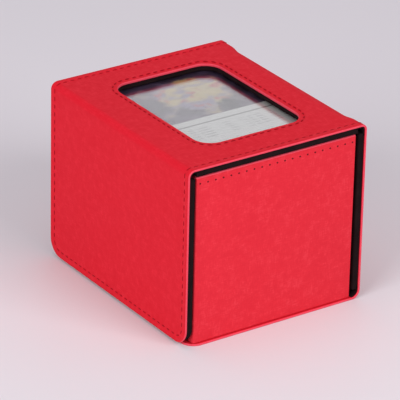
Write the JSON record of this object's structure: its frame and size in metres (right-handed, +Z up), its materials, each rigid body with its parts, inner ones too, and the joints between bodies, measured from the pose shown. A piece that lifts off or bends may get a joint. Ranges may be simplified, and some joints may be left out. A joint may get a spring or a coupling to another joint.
{
  "type": "card deck box",
  "caption": "Magnetic card deck box: a lined tray in a folding leather wrap, with a hinged window lid over a display pocket and a front flap.",
  "frame": {"origin": "centre of the rectangle the box stands on, at the table", "axes": "+Z up, X from the front flap (-X) to the hinged back (+X), Y along the long side of the cards"},
  "size_m": [0.0874, 0.1024, 0.0794],
  "materials": {
    "leather_red": "semi-matt artificial leather with a fine linen grain",
    "microfibre_black": "brushed black microfibre",
    "greyboard": "raw greyboard",
    "magnet_steel": "plated magnet disc",
    "clear_sheet": "clear glossy plastic sheet",
    "card_stock": "coated card with a plain printed pattern",
    "thread_red": "dark red sewing thread"
  },
  "bodies": {
    "tray": {"wrap_leather": "leather_red", "base_lining": "microfibre_black", "back_board": "greyboard", "back_lining": "microfibre_black", "lid_hinge_leather": "leather_red", "lid_hinge_lining": "microfibre_black", "tray_floor_board": "greyboard", "tray_floor_lining": "microfibre_black", "tray_front_board": "greyboard", "tray_front_lining": "microfibre_black", "tray_back_board": "greyboard", "tray_back_lining": "microfibre_black", "near_end_leather": "leather_red", "near_end_board": "greyboard", "near_end_lining": "microfibre_black", "far_end_leather": "leather_red", "far_end_board": "greyboard", "far_end_lining": "microfibre_black", "tray_magnet_near": "magnet_steel", "tray_magnet_far": "magnet_steel"},
    "lid": {"lid_leather": "leather_red", "lid_board": "greyboard", "lid_lining": "microfibre_black", "window_pane": "clear_sheet", "display_card": "card_stock", "pocket_back": "microfibre_black", "flap_hinge_leather": "leather_red", "flap_hinge_lining": "microfibre_black"},
    "flap": {"flap_leather": "leather_red", "flap_board": "greyboard", "flap_lining": "microfibre_black", "flap_magnet_near": "magnet_steel", "flap_magnet_far": "magnet_steel"}
  },
  "joints": [
    {"name": "lid_hinge", "type": "hinge", "parent": "tray", "child": "lid", "pos_m": [0.04289, 0, 0.07854], "axis": [0, 1, 0], "range_deg": [0, 175]},
    {"name": "flap_hinge", "type": "hinge", "parent": "lid", "child": "flap", "pos_m": [-0.04289, 0, 0.07854], "axis": [0, 1, 0], "range_deg": [0, 170]}
  ]
}
